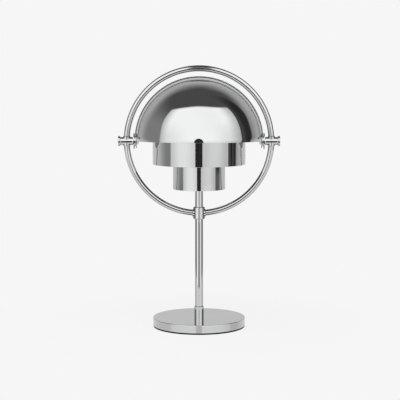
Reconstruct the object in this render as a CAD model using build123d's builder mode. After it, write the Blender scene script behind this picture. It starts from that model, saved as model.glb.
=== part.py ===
from build123d import *
import os
from math import asin, cos, degrees, radians, sin, sqrt

# A cordless table lamp: a weighted round base, a straight stem, a ring that
# carries two nested quarter-sphere shades on side pivots, and a stack of open
# cylinders round a small light source at the ring's centre.
# Millimetres. The origin is the centre of the base's underside, +Z is up, the
# pivots lie along X, and the smaller shade faces -Y.

# Base shell, cover and foot
base_diameter = 117.0
base_height = 11.7
base_wall = 2.0
base_top_thickness = 1.6
base_edge_round = 0.8
foot_thickness = 1.6
foot_inset = 0.4
cover_thickness = 1.6
cover_clearance = 0.2
cover_screw_diameter = 3.0
cover_screw_length = 6.5
cover_screw_head_diameter = 5.8
cover_screw_inset = 8.0
cover_screw_count = 4
cover_screw_start = 45.0
cover_boss_diameter = 7.0
screw_access_diameter = 7.0
thread_clearance = 0.05

# Ballast plate and what it leaves room for
ballast_edge_gap = 1.5
ballast_cover_gap = 0.4
ballast_boss_gap = 0.3
pocket_clearance = 1.0
battery_rim = 3.7
battery_wall_gap = 14.5
battery_stem_gap = 4.5
battery_thickness = 5.6
battery_edge_round = 1.5
channel_width = 27.0

# Control board, charging port and switch at the back of the base
board_width = 44.0
board_depth = 23.7
board_edge_gap = 0.2
board_thickness = 1.0
board_boss_height = 0.5
board_boss_diameter = 4.6
board_screw_diameter = 1.9
board_screw_length = 2.3
board_screw_head_diameter = 3.8
board_screw_head_height = 1.2
board_screw_spacing = 34.0
board_screw_inset = 3.5
chip_size = 5.0
chip_height = 1.1
chip_offset = 16.0
coil_diameter = 6.0
coil_height = 2.6
coil_offset = 8.0
port_width = 8.94
port_height = 3.26
port_length = 7.35
port_wall = 0.3
port_cavity_depth = 6.2
port_tongue_width = 6.7
port_tongue_thickness = 0.7
port_tongue_length = 4.6
port_recess = 0.9
port_slot_clearance = 0.27
switch_angle = 17.0
switch_size = 6.0
switch_depth = 5.0
switch_height = 3.4
plunger_diameter = 2.0
plunger_length = 2.7
plunger_seat = 1.5
plunger_clearance = 0.08
button_diameter = 5.0
button_clearance = 0.05
button_projection = 0.8
button_flange_diameter = 6.0
button_flange_thickness = 0.8
button_stem_diameter = 3.0
button_stem_length = 1.6
button_edge_round = 0.4
button_wall_gap = 0.3
button_travel = 0.5

# Stem and its fixings
stem_diameter = 10.0
stem_wall = 1.0
stem_fit = 0.05
washer_diameter = 17.0
lock_washer_thickness = 0.8
stem_nut_width = 14.0
stem_nut_thickness = 2.8
stem_end_projection = 0.3
foot_collar_diameter = 11.8
foot_collar_height = 13.8
collar_edge_chamfer = 0.4

# Shades and the pivot stack, listed from the middle of the lamp outwards
pivot_height = 236.0
inner_shade_radius = 79.4
shade_sheet = 1.0
shade_arc = 88.5
inner_ear_diameter = 18.5
outer_ear_diameter = 14.0
ear_thickness = 1.2
pivot_nut_width = 8.0
pivot_nut_thickness = 1.8
nut_washer_diameter = 10.5
nut_washer_thickness = 0.4
bolt_diameter = 4.0
bolt_end_projection = 0.3
pivot_clearance = 0.05
spacer_diameter = 10.5
spacer_length = 0.6
friction_washer_diameter = 20.0
friction_washer_thickness = 1.2
barrel_diameter = 10.0
barrel_length = 17.2
barrel_flare = 0.7
barrel_flare_length = 1.5
bolt_head_diameter = 12.8
bolt_head_thickness = 2.2
bolt_head_round = 0.6

# Ring and its collar on the stem
ring_tube_diameter = 7.5
ring_tube_wall = 1.0
ring_collar_diameter = 14.7
ring_collar_height = 14.8
ring_end_depth = 1.5
saddle_step = 0.9
saddle_length = 1.3
saddle_chamfer = 0.6
braze_clearance = 0.02
braze_arc = 6.0
set_screw_diameter = 3.0
set_screw_length = 2.0

# Cylinders and the spiders that carry them
large_cylinder_diameter = 117.0
large_cylinder_height = 58.0
small_cylinder_diameter = 66.0
small_cylinder_height = 36.5
cylinder_sheet = 1.0
spider_inset = 5.0
spider_sheet = 1.5
spider_arm_width = 8.0
spider_arm_count = 3
spider_tab_height = 8.0
spider_lug_height = 6.0
spider_fit = 0.05
spider_hub_diameter = 28.0
upper_hub_diameter = 46.0
upper_hub_width = 5.0
spider_nut_width = 14.0
spider_nut_thickness = 3.0

# Light source
holder_diameter = 32.0
holder_fin_height = 9.0
holder_core_diameter = 20.0
holder_groove_count = 3
holder_groove_width = 1.5
holder_neck_diameter = 28.8
holder_neck_height = 3.5
stem_socket_depth = 7.0
lead_hole_diameter = 4.0
led_board_diameter = 25.0
led_board_thickness = 1.6
led_count = 6
led_start = 30.0
led_circle = 14.0
led_size = 3.0
led_height = 0.8
led_screw_diameter = 2.0
led_screw_length = 2.6
led_screw_head_diameter = 3.6
led_screw_head_height = 1.2
led_screw_spacing = 20.0
diffuser_wall = 1.5
diffuser_fit = 0.1
diffuser_headroom = 2.5
diffuser_crown_round = 9.0

# Leads
lamp_lead_diameter = 1.8
lamp_lead_cover_gap = 0.5
lamp_lead_bend = 3.4
lamp_lead_drop_bend = 6.0
lamp_lead_tail = 5.0
lamp_lead_drop_gap = 4.0
lamp_lead_drop_length = 9.0
battery_lead_diameter = 1.6
battery_lead_offset = 10.4
battery_lead_pitch = 1.9
battery_lead_tail = 5.0

# Levels of the base, from the table upwards
base_radius = base_diameter / 2
inner_wall_radius = base_radius - base_wall
cover_top = foot_thickness + cover_thickness
plate_underside = base_height - base_top_thickness
ballast_bottom = cover_top + ballast_cover_gap
ballast_radius = inner_wall_radius - ballast_edge_gap
screw_circle_radius = inner_wall_radius - cover_screw_inset
board_top = plate_underside - board_boss_height
board_underside = board_top - board_thickness
port_axis_height = board_underside - port_height / 2
switch_axis_height = board_underside - switch_height / 2
lock_washer_bottom = plate_underside - lock_washer_thickness
stem_nut_bottom = lock_washer_bottom - stem_nut_thickness
stem_bottom = stem_nut_bottom - stem_end_projection
wall_cut_start = inner_wall_radius - base_wall
wall_cut_length = 3 * base_wall

# Radii of the switch and button stack, from the wall inwards
button_flange_face = inner_wall_radius - button_wall_gap
button_flange_back = button_flange_face - button_flange_thickness
plunger_face = button_flange_back - button_stem_length
switch_face = plunger_face - plunger_length + plunger_seat
board_radius = button_flange_back - button_travel - board_edge_gap
board_front = board_radius - board_depth

# The battery fills the room between the stem's washer and the ballast's rim
battery_front = -(inner_wall_radius - battery_wall_gap)
battery_back = -(washer_diameter / 2 + battery_stem_gap)
battery_depth = battery_back - battery_front
battery_centre = (battery_front + battery_back) / 2
battery_pocket_front = battery_front - pocket_clearance
battery_corner_radius = ballast_radius - battery_rim
battery_pocket_width = 2 * sqrt(battery_corner_radius**2 - battery_pocket_front**2)
battery_width = battery_pocket_width - 2 * pocket_clearance

# Distances of the pivot stack from the middle of the lamp
inner_ear_inside = inner_shade_radius - ear_thickness
nut_washer_inside = inner_ear_inside - nut_washer_thickness
pivot_nut_inside = nut_washer_inside - pivot_nut_thickness
bolt_inside = pivot_nut_inside - bolt_end_projection
outer_ear_inside = inner_shade_radius + spacer_length
outer_shade_radius = outer_ear_inside + ear_thickness
barrel_inside = outer_shade_radius + friction_washer_thickness
ring_radius = barrel_inside + barrel_length / 2
barrel_outside = barrel_inside + barrel_length
ring_bottom = pivot_height - ring_radius

# Levels of the cylinders and the light source
large_bottom = pivot_height - large_cylinder_height / 2
large_top = pivot_height + large_cylinder_height / 2
lower_spider_bottom = large_bottom + spider_inset
lower_spider_top = lower_spider_bottom + spider_sheet
upper_spider_top = large_top - spider_inset
upper_spider_bottom = upper_spider_top - spider_sheet
holder_shoulder = lower_spider_top + holder_fin_height
holder_top = holder_shoulder + holder_neck_height
led_board_top = holder_top + led_board_thickness
diffuser_top = upper_spider_bottom - diffuser_headroom
stem_top = lower_spider_top + stem_socket_depth

pivot_axis = Axis((0, 0, pivot_height), (1, 0, 0))
ring_axis = Axis((0, 0, pivot_height), (0, 1, 0))
front_plane = Plane(origin=(0, 0, pivot_height), x_dir=(1, 0, 0), z_dir=(0, -1, 0))
sides = (("left", -1), ("right", 1))

os.makedirs("parts", exist_ok=True)


def save(builder, name):
    builder.part.label = name
    export_step(builder.part, f"parts/{name}.step")


def side_plane(direction, distance):
    """Square to the pivot axis and facing away from the lamp."""
    return Plane(origin=(direction * distance, 0, pivot_height), x_dir=(0, 1, 0), z_dir=(direction, 0, 0))


def rim_plane(angle, distance, height):
    """Square to a radius of the base, angle measured from +Y towards +X."""
    outward = (sin(radians(angle)), cos(radians(angle)), 0)
    sideways = (cos(radians(angle)), -sin(radians(angle)), 0)
    origin = (outward[0] * distance, outward[1] * distance, height)
    return Plane(origin=origin, x_dir=sideways, z_dir=outward)


def ring_sector_plane(angle):
    """Square to the ring's tube, angle measured from the pivot on +X upwards."""
    outward = (cos(radians(angle)), 0, sin(radians(angle)))
    origin = (outward[0] * ring_radius, 0, pivot_height + outward[2] * ring_radius)
    return Plane(origin=origin, x_dir=outward, z_dir=(-outward[2], 0, outward[0]))


# Base shell: a shallow inverted tray with bosses for the cover and the board
with BuildPart() as base_shell:
    with BuildSketch(Plane.XY.offset(foot_thickness)):
        Circle(base_radius)
    extrude(amount=base_height - foot_thickness)
    fillet(base_shell.edges().group_by(Axis.Z)[-1], base_edge_round)
    with BuildSketch(Plane.XY.offset(foot_thickness)):
        Circle(inner_wall_radius)
    extrude(amount=plate_underside - foot_thickness, mode=Mode.SUBTRACT)
    with BuildSketch(Plane.XY.offset(cover_top)):
        with PolarLocations(screw_circle_radius, cover_screw_count, cover_screw_start):
            Circle(cover_boss_diameter / 2)
    extrude(amount=plate_underside - cover_top)
    with BuildSketch(Plane.XY.offset(board_top)):
        with Locations((0, board_front + board_screw_inset)):
            with GridLocations(board_screw_spacing, 0, 2, 1):
                Circle(board_boss_diameter / 2)
    extrude(amount=board_boss_height)
    with BuildSketch(Plane.XY.offset(cover_top)):
        with PolarLocations(screw_circle_radius, cover_screw_count, cover_screw_start):
            Circle(cover_screw_diameter / 2 + thread_clearance)
    extrude(amount=cover_screw_length - cover_thickness, mode=Mode.SUBTRACT)
    with BuildSketch(Plane.XY.offset(board_top)):
        with Locations((0, board_front + board_screw_inset)):
            with GridLocations(board_screw_spacing, 0, 2, 1):
                Circle(board_screw_diameter / 2 + thread_clearance)
    extrude(amount=board_screw_length - board_thickness, mode=Mode.SUBTRACT)
    with BuildSketch(Plane.XY.offset(plate_underside)):
        Circle(stem_diameter / 2 + stem_fit)
    extrude(amount=base_top_thickness, mode=Mode.SUBTRACT)
    with BuildSketch(rim_plane(0, wall_cut_start, port_axis_height)):
        SlotOverall(port_width + 2 * port_slot_clearance, port_height + 2 * port_slot_clearance)
    extrude(amount=wall_cut_length, mode=Mode.SUBTRACT)
    with BuildSketch(rim_plane(switch_angle, wall_cut_start, switch_axis_height)):
        Circle(button_diameter / 2 + button_clearance)
    extrude(amount=wall_cut_length, mode=Mode.SUBTRACT)
save(base_shell, "base_shell")

# Ballast: a steel plate under the top, cut away for the battery, the stem nut and the board
battery_pocket_depth = battery_depth + 2 * pocket_clearance
board_pocket_front = board_front - pocket_clearance
with BuildPart() as base_ballast:
    with BuildSketch(Plane.XY.offset(ballast_bottom)):
        Circle(ballast_radius)
        with Locations((0, battery_centre)):
            Rectangle(battery_pocket_width, battery_pocket_depth, mode=Mode.SUBTRACT)
        with Locations((0, battery_centre)):
            Rectangle(
                channel_width,
                board_pocket_front - battery_centre,
                align=(Align.CENTER, Align.MIN),
                mode=Mode.SUBTRACT,
            )
        with Locations((0, board_pocket_front)):
            Rectangle(
                board_width + 2 * pocket_clearance,
                base_radius,
                align=(Align.CENTER, Align.MIN),
                mode=Mode.SUBTRACT,
            )
        with PolarLocations(screw_circle_radius, cover_screw_count, cover_screw_start):
            Circle(cover_boss_diameter / 2 + ballast_boss_gap, mode=Mode.SUBTRACT)
    extrude(amount=plate_underside - ballast_bottom)
save(base_ballast, "base_ballast")

# Cover: closes the base from below, flush with the shell's lower edge
with BuildPart() as bottom_cover:
    with BuildSketch(Plane.XY.offset(foot_thickness)):
        Circle(inner_wall_radius - cover_clearance)
    extrude(amount=cover_thickness)
    with Locations(Plane.XY.offset(foot_thickness).rotated((180, 0, 0))):
        with PolarLocations(screw_circle_radius, cover_screw_count, cover_screw_start):
            CounterSinkHole(cover_screw_diameter / 2 + thread_clearance, cover_screw_head_diameter / 2)
save(bottom_cover, "bottom_cover")

# Foot: a rubber pad over the cover and the shell's edge, open over each screw
with BuildPart() as foot_pad:
    with BuildSketch():
        Circle(base_radius - foot_inset)
        with PolarLocations(screw_circle_radius, cover_screw_count, cover_screw_start):
            Circle(screw_access_diameter / 2, mode=Mode.SUBTRACT)
    extrude(amount=foot_thickness)
save(foot_pad, "foot_pad")

# Countersunk screws through the cover into the shell's bosses
screw_radius = cover_screw_diameter / 2
screw_head_radius = cover_screw_head_diameter / 2 - thread_clearance
screw_head_height = screw_head_radius - screw_radius
with BuildPart() as bottom_screws:
    with BuildSketch(Plane.XY.offset(foot_thickness)):
        with PolarLocations(screw_circle_radius, cover_screw_count, cover_screw_start):
            Circle(screw_radius)
    extrude(amount=cover_screw_length)
    with PolarLocations(screw_circle_radius, cover_screw_count, cover_screw_start):
        with Locations((0, 0, foot_thickness + screw_head_height / 2)):
            Cone(screw_head_radius, screw_radius, screw_head_height)
save(bottom_screws, "bottom_screws")

# Battery: one flat pack standing on the cover
with BuildPart() as battery_pack:
    with BuildSketch(Plane.XY.offset(cover_top)):
        with Locations((0, battery_centre)):
            RectangleRounded(battery_width, battery_depth, battery_edge_round)
    extrude(amount=battery_thickness)
    fillet(battery_pack.edges().group_by(Axis.Z)[-1], battery_edge_round / 2)
save(battery_pack, "battery_pack")

# Battery leads: a pair from the pack to the underside of the board
battery_lead_height = board_underside - battery_lead_diameter / 2
with BuildPart() as battery_leads:
    with BuildSketch(Plane(origin=(0, battery_back, 0), x_dir=(-1, 0, 0), z_dir=(0, 1, 0))):
        with Locations((-battery_lead_offset, battery_lead_height)):
            Circle(battery_lead_diameter / 2)
        with Locations((-battery_lead_offset - battery_lead_pitch, battery_lead_height)):
            Circle(battery_lead_diameter / 2)
    extrude(amount=board_front + battery_lead_tail - battery_back)
save(battery_leads, "battery_leads")

# Control board: hangs under the plate, its back edge follows the wall
board_middle = (board_front + board_radius) / 2
with BuildPart() as control_board:
    with BuildSketch(Plane.XY.offset(board_underside)):
        Circle(board_radius)
        with Locations((0, board_front)):
            Rectangle(board_width, base_radius, align=(Align.CENTER, Align.MIN), mode=Mode.INTERSECT)
        with Locations((0, board_front + board_screw_inset)):
            with GridLocations(board_screw_spacing, 0, 2, 1):
                Circle(board_screw_diameter / 2 + thread_clearance, mode=Mode.SUBTRACT)
    extrude(amount=board_thickness)
    with BuildSketch(Plane.XY.offset(board_underside)):
        with Locations((-chip_offset, board_middle + chip_size / 2)):
            Rectangle(chip_size, chip_size)
    extrude(amount=-chip_height)
    with BuildSketch(Plane.XY.offset(board_underside)):
        with Locations((-coil_offset, board_front + coil_diameter)):
            Circle(coil_diameter / 2)
    extrude(amount=-coil_height)
save(control_board, "control_board")

# Pan-head screws that hold the board to the shell
with BuildPart() as board_screws:
    with BuildSketch(Plane.XY.offset(board_underside)):
        with Locations((0, board_front + board_screw_inset)):
            with GridLocations(board_screw_spacing, 0, 2, 1):
                Circle(board_screw_diameter / 2)
    extrude(amount=board_screw_length)
    with BuildSketch(Plane.XY.offset(board_underside)):
        with Locations((0, board_front + board_screw_inset)):
            with GridLocations(board_screw_spacing, 0, 2, 1):
                Circle(board_screw_head_diameter / 2)
    extrude(amount=-board_screw_head_height)
save(board_screws, "board_screws")

# Charging port: a metal shell with its tongue, mouth towards the back
port_mouth = base_radius - port_recess
with BuildPart() as usb_c_port:
    with BuildSketch(rim_plane(0, port_mouth, port_axis_height)):
        SlotOverall(port_width, port_height)
    extrude(amount=-port_length)
    with BuildSketch(rim_plane(0, port_mouth, port_axis_height)):
        SlotOverall(port_width - 2 * port_wall, port_height - 2 * port_wall)
    extrude(amount=-port_cavity_depth, mode=Mode.SUBTRACT)
    with BuildSketch(rim_plane(0, port_mouth - port_cavity_depth, port_axis_height)):
        Rectangle(port_tongue_width, port_tongue_thickness)
    extrude(amount=port_tongue_length)
save(usb_c_port, "usb_c_port")

# Switch: a side-pressed housing on the board, with a hole for its plunger
with BuildPart() as tact_switch:
    with BuildSketch(rim_plane(switch_angle, switch_face, switch_axis_height)):
        Rectangle(switch_size, switch_height)
    extrude(amount=-switch_depth)
    with BuildSketch(rim_plane(switch_angle, switch_face, switch_axis_height)):
        Circle(plunger_diameter / 2 + plunger_clearance)
    extrude(amount=-(plunger_seat + 2 * button_travel), mode=Mode.SUBTRACT)
save(tact_switch, "tact_switch")

with BuildPart() as switch_plunger:
    with BuildSketch(rim_plane(switch_angle, plunger_face, switch_axis_height)):
        Circle(plunger_diameter / 2)
    extrude(amount=-plunger_length)
save(switch_plunger, "switch_plunger")

# Button: passes through the wall, with a flange behind it and a stem on the plunger
with BuildPart() as power_button:
    with BuildSketch(rim_plane(switch_angle, button_flange_face, switch_axis_height)):
        Circle(button_diameter / 2)
    extrude(amount=base_radius + button_projection - button_flange_face)
    cap_edge = power_button.edges().sort_by(Axis(rim_plane(switch_angle, 0, 0).location))[-1]
    fillet(cap_edge, button_edge_round)
    with BuildSketch(rim_plane(switch_angle, button_flange_face, switch_axis_height)):
        Circle(button_flange_diameter / 2)
    extrude(amount=-button_flange_thickness)
    with BuildSketch(rim_plane(switch_angle, button_flange_back, switch_axis_height)):
        Circle(button_stem_diameter / 2)
    extrude(amount=-button_stem_length)
save(power_button, "power_button")

# Stem: one straight tube from under the base's top to the lamp holder
with BuildPart() as stem_tube:
    with BuildSketch(Plane.XY.offset(stem_bottom)):
        Circle(stem_diameter / 2)
        Circle(stem_diameter / 2 - stem_wall, mode=Mode.SUBTRACT)
    extrude(amount=stem_top - stem_bottom)
save(stem_tube, "stem_tube")

with BuildPart() as lock_washer:
    with BuildSketch(Plane.XY.offset(lock_washer_bottom)):
        Circle(washer_diameter / 2)
        Circle(stem_diameter / 2 + stem_fit, mode=Mode.SUBTRACT)
    extrude(amount=lock_washer_thickness)
save(lock_washer, "lock_washer")


def hexagon_radius(width):
    """Corner radius of a hexagon, from its width across the flats."""
    return width / 2 / cos(radians(30))


with BuildPart() as stem_nut:
    with BuildSketch(Plane.XY.offset(stem_nut_bottom)):
        RegularPolygon(hexagon_radius(stem_nut_width), 6)
        Circle(stem_diameter / 2 + stem_fit, mode=Mode.SUBTRACT)
    extrude(amount=stem_nut_thickness)
save(stem_nut, "stem_nut")

# Foot collar: a plain sleeve round the stem, standing on the base
with BuildPart() as foot_collar:
    with BuildSketch(Plane.XY.offset(base_height)):
        Circle(foot_collar_diameter / 2)
    extrude(amount=foot_collar_height)
    chamfer(foot_collar.edges().group_by(Axis.Z)[-1], collar_edge_chamfer)
    with BuildSketch(Plane.XY.offset(base_height)):
        Circle(stem_diameter / 2 + stem_fit)
    extrude(amount=foot_collar_height, mode=Mode.SUBTRACT)
save(foot_collar, "foot_collar")

# Ring: one tube bent to a circle, open at the bottom where its ends enter the collar
ring_end_x = ring_collar_diameter / 2 - ring_end_depth
ring_end_angle = degrees(asin(ring_end_x / ring_radius))
with BuildPart() as ring_tube:
    with BuildSketch(ring_sector_plane(-90 + ring_end_angle)):
        Circle(ring_tube_diameter / 2)
        Circle(ring_tube_diameter / 2 - ring_tube_wall, mode=Mode.SUBTRACT)
    revolve(axis=-ring_axis, revolution_arc=360 - 2 * ring_end_angle)
    for direction in (-1, 1):
        with BuildSketch(side_plane(direction, barrel_inside)):
            Circle(bolt_diameter / 2 + pivot_clearance)
        extrude(amount=barrel_length, mode=Mode.SUBTRACT)
save(ring_tube, "ring_tube")

# Ring collar: a sleeve on the stem with a saddle each side for the ring's ends
saddle_radius = ring_tube_diameter / 2 + saddle_step
saddle_end = ring_collar_diameter / 2 + saddle_length
with BuildPart() as ring_collar:
    with BuildSketch(Plane.YZ.offset(-saddle_end)):
        with Locations((0, ring_bottom)):
            Circle(saddle_radius)
    extrude(amount=2 * saddle_end)
    chamfer(ring_collar.edges().filter_by(GeomType.CIRCLE), saddle_chamfer)
    with BuildSketch(Plane.XY.offset(ring_bottom - ring_collar_height / 2)):
        Circle(ring_collar_diameter / 2)
    extrude(amount=ring_collar_height)
    rims = ring_collar.edges().filter_by(GeomType.CIRCLE).filter_by(Plane.XY)
    chamfer(rims.group_by(Axis.Z)[0] + rims.group_by(Axis.Z)[-1], collar_edge_chamfer)
    with BuildSketch(Plane.XY.offset(ring_bottom - ring_collar_height / 2)):
        Circle(stem_diameter / 2 + stem_fit)
    extrude(amount=ring_collar_height, mode=Mode.SUBTRACT)
    for direction in (-1, 1):
        with BuildSketch(ring_sector_plane(-90 + direction * ring_end_angle)):
            Circle(ring_tube_diameter / 2 + braze_clearance)
        swing = Axis((0, 0, pivot_height), (0, -direction, 0))
        revolve(axis=swing, revolution_arc=braze_arc, mode=Mode.SUBTRACT)
    with BuildSketch(rim_plane(0, 0, ring_bottom)):
        Circle(set_screw_diameter / 2 + thread_clearance)
    extrude(amount=ring_collar_diameter, mode=Mode.SUBTRACT)
save(ring_collar, "ring_collar")

with BuildPart() as collar_set_screw:
    with BuildSketch(rim_plane(0, stem_diameter / 2, ring_bottom)):
        Circle(set_screw_diameter / 2)
    extrude(amount=set_screw_length)
save(collar_set_screw, "collar_set_screw")

# Pivots: a barrel brazed across the ring, a bolt through it and the ears, and a nut inside
barrel_radius = barrel_diameter / 2
for side, direction in sides:
    with BuildPart() as pivot_barrel:
        with BuildSketch(front_plane):
            with BuildLine():
                inside = direction * barrel_inside
                outside = direction * barrel_outside
                reach = direction * barrel_flare_length
                wide = barrel_radius + barrel_flare
                Line((inside, 0), (inside, wide))
                TangentArc((inside + reach, barrel_radius), (inside, wide), tangent=(-direction, 0))
                Line((inside + reach, barrel_radius), (outside - reach, barrel_radius))
                TangentArc((outside - reach, barrel_radius), (outside, wide), tangent=(direction, 0))
                Line((outside, wide), (outside, 0))
                Line((outside, 0), (inside, 0))
            make_face()
        revolve(axis=pivot_axis)
        with Locations((direction * ring_radius, 0, pivot_height)):
            Cylinder(saddle_radius, 2 * (barrel_radius + saddle_length))
        chamfer(
            pivot_barrel.edges().filter_by(GeomType.CIRCLE).filter_by(Plane.XY),
            saddle_chamfer,
        )
        with BuildSketch(ring_sector_plane(90 - 90 * direction - braze_arc)):
            Circle(ring_tube_diameter / 2 + braze_clearance)
        revolve(axis=-ring_axis, revolution_arc=2 * braze_arc, mode=Mode.SUBTRACT)
        with BuildSketch(side_plane(direction, barrel_inside)):
            Circle(bolt_diameter / 2 + pivot_clearance)
        extrude(amount=barrel_length, mode=Mode.SUBTRACT)
    save(pivot_barrel, f"pivot_barrel_{side}")

    with BuildPart() as pivot_bolt:
        with BuildSketch(side_plane(direction, barrel_outside)):
            Circle(bolt_head_diameter / 2)
        extrude(amount=bolt_head_thickness)
        head_axis = Axis((0, 0, pivot_height), (direction, 0, 0))
        fillet(pivot_bolt.edges().sort_by(head_axis)[-1], bolt_head_round)
        with BuildSketch(side_plane(direction, bolt_inside)):
            Circle(bolt_diameter / 2)
        extrude(amount=barrel_outside - bolt_inside)
    save(pivot_bolt, f"pivot_bolt_{side}")

    with BuildPart() as friction_washer:
        with BuildSketch(side_plane(direction, outer_shade_radius)):
            Circle(friction_washer_diameter / 2)
            Circle(bolt_diameter / 2 + pivot_clearance, mode=Mode.SUBTRACT)
        extrude(amount=friction_washer_thickness)
    save(friction_washer, f"friction_washer_{side}")

    with BuildPart() as ear_spacer:
        with BuildSketch(side_plane(direction, inner_shade_radius)):
            Circle(spacer_diameter / 2)
            Circle(bolt_diameter / 2 + pivot_clearance, mode=Mode.SUBTRACT)
        extrude(amount=spacer_length)
    save(ear_spacer, f"ear_spacer_{side}")

    with BuildPart() as nut_washer:
        with BuildSketch(side_plane(direction, nut_washer_inside)):
            Circle(nut_washer_diameter / 2)
            Circle(bolt_diameter / 2 + pivot_clearance, mode=Mode.SUBTRACT)
        extrude(amount=nut_washer_thickness)
    save(nut_washer, f"nut_washer_{side}")

    with BuildPart() as pivot_nut:
        with BuildSketch(side_plane(direction, pivot_nut_inside)):
            RegularPolygon(hexagon_radius(pivot_nut_width), 6)
            Circle(bolt_diameter / 2 + thread_clearance, mode=Mode.SUBTRACT)
        extrude(amount=pivot_nut_thickness)
    save(pivot_nut, f"pivot_nut_{side}")


def build_shade(name, radius, ear_diameter, swing_axis):
    """Quarter of a thin sphere, swung from the upright plane, with a drilled ear at each pole."""
    with BuildPart() as shade:
        with BuildSketch(front_plane):
            Circle(radius)
            Circle(radius - shade_sheet, mode=Mode.SUBTRACT)
            Rectangle(2 * radius, radius, align=(Align.CENTER, Align.MIN), mode=Mode.INTERSECT)
        revolve(axis=swing_axis, revolution_arc=shade_arc)
        for direction in (-1, 1):
            with BuildSketch(side_plane(direction, radius)):
                Circle(ear_diameter / 2)
            extrude(amount=-ear_thickness)
            with BuildSketch(side_plane(direction, radius)):
                Circle(bolt_diameter / 2 + pivot_clearance)
            extrude(amount=-2 * ear_thickness, mode=Mode.SUBTRACT)
    save(shade, name)


build_shade("inner_shade", inner_shade_radius, inner_ear_diameter, pivot_axis)
build_shade("outer_shade", outer_shade_radius, outer_ear_diameter, -pivot_axis)


def build_tube(name, diameter, bottom, height):
    """Open cylinder of thin sheet."""
    with BuildPart() as tube:
        with BuildSketch(Plane.XY.offset(bottom)):
            Circle(diameter / 2)
            Circle(diameter / 2 - cylinder_sheet, mode=Mode.SUBTRACT)
        extrude(amount=height)
    save(tube, name)


build_tube("large_cylinder", large_cylinder_diameter, large_bottom, large_cylinder_height)
lower_bottom = lower_spider_bottom - small_cylinder_height
build_tube("lower_cylinder", small_cylinder_diameter, lower_bottom, small_cylinder_height)
build_tube("upper_cylinder", small_cylinder_diameter, upper_spider_top, small_cylinder_height)

# Spiders: flat arms with a tab bent along the large cylinder and a lug inside the small one
tab_radius = large_cylinder_diameter / 2 - cylinder_sheet - spider_fit
lug_radius = small_cylinder_diameter / 2 - cylinder_sheet - spider_fit


def arm_shapes(outer_radius):
    """Radial bars as wide as an arm, out to one radius."""
    with PolarLocations(0, spider_arm_count):
        Rectangle(outer_radius, spider_arm_width, align=(Align.MIN, Align.CENTER))


def build_spider(name, outer_face, up, hub_diameter, hole_diameter):
    """Spider whose outer face touches the small cylinder, with its tabs towards the lamp's middle."""
    inward = 1 if up else -1
    with BuildPart() as spider:
        with BuildSketch(Plane.XY.offset(outer_face)):
            arm_shapes(tab_radius + spider_arm_width)
            Circle(tab_radius, mode=Mode.INTERSECT)
            Circle(hub_diameter / 2)
            Circle(hole_diameter / 2, mode=Mode.SUBTRACT)
        extrude(amount=inward * spider_sheet)
        with BuildSketch(Plane.XY.offset(outer_face)):
            arm_shapes(tab_radius + spider_arm_width)
            Circle(tab_radius, mode=Mode.INTERSECT)
            Circle(tab_radius - spider_sheet, mode=Mode.SUBTRACT)
        extrude(amount=inward * spider_tab_height)
        with BuildSketch(Plane.XY.offset(outer_face)):
            arm_shapes(tab_radius)
            Circle(lug_radius, mode=Mode.INTERSECT)
            Circle(lug_radius - spider_sheet, mode=Mode.SUBTRACT)
        extrude(amount=-inward * spider_lug_height)
    save(spider, name)


build_spider("lower_spider", lower_spider_bottom, True, spider_hub_diameter, stem_diameter + 2 * stem_fit)
upper_hole_diameter = upper_hub_diameter - 2 * upper_hub_width
build_spider("upper_spider", upper_spider_top, False, upper_hub_diameter, upper_hole_diameter)

with BuildPart() as spider_nut:
    with BuildSketch(Plane.XY.offset(lower_spider_bottom - spider_nut_thickness)):
        RegularPolygon(hexagon_radius(spider_nut_width), 6)
        Circle(stem_diameter / 2 + stem_fit, mode=Mode.SUBTRACT)
    extrude(amount=spider_nut_thickness)
save(spider_nut, "spider_nut")

# Lamp holder: a turned, finned heat sink screwed on the stem's end
groove_pitch = holder_fin_height / (holder_groove_count + 0.5)
with BuildPart() as lamp_holder:
    with BuildSketch(Plane.XY.offset(lower_spider_top)):
        Circle(holder_diameter / 2)
    extrude(amount=holder_fin_height)
    with BuildSketch(Plane.XY.offset(holder_shoulder)):
        Circle(holder_neck_diameter / 2)
    extrude(amount=holder_neck_height)
    for index in range(holder_groove_count):
        with BuildSketch(Plane.XY.offset(lower_spider_top + (index + 0.5) * groove_pitch)):
            Circle(holder_diameter / 2)
            Circle(holder_core_diameter / 2, mode=Mode.SUBTRACT)
        extrude(amount=holder_groove_width, mode=Mode.SUBTRACT)
    with BuildSketch(Plane.XY.offset(lower_spider_top)):
        Circle(stem_diameter / 2 + stem_fit)
    extrude(amount=stem_socket_depth, mode=Mode.SUBTRACT)
    with BuildSketch(Plane.XY.offset(lower_spider_top)):
        Circle(lead_hole_diameter / 2)
    extrude(amount=holder_top - lower_spider_top, mode=Mode.SUBTRACT)
    with BuildSketch(Plane.XY.offset(holder_top)):
        with GridLocations(led_screw_spacing, 0, 2, 1):
            Circle(led_screw_diameter / 2 + thread_clearance)
    extrude(amount=-(led_screw_length - led_board_thickness), mode=Mode.SUBTRACT)
save(lamp_holder, "lamp_holder")

with BuildPart() as led_board:
    with BuildSketch(Plane.XY.offset(holder_top)):
        Circle(led_board_diameter / 2)
        with GridLocations(led_screw_spacing, 0, 2, 1):
            Circle(led_screw_diameter / 2 + thread_clearance, mode=Mode.SUBTRACT)
    extrude(amount=led_board_thickness)
save(led_board, "led_board")

with BuildPart() as led_chips:
    with BuildSketch(Plane.XY.offset(led_board_top)):
        with PolarLocations(led_circle / 2, led_count, led_start):
            Rectangle(led_size, led_size)
    extrude(amount=led_height)
save(led_chips, "led_chips")

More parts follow.
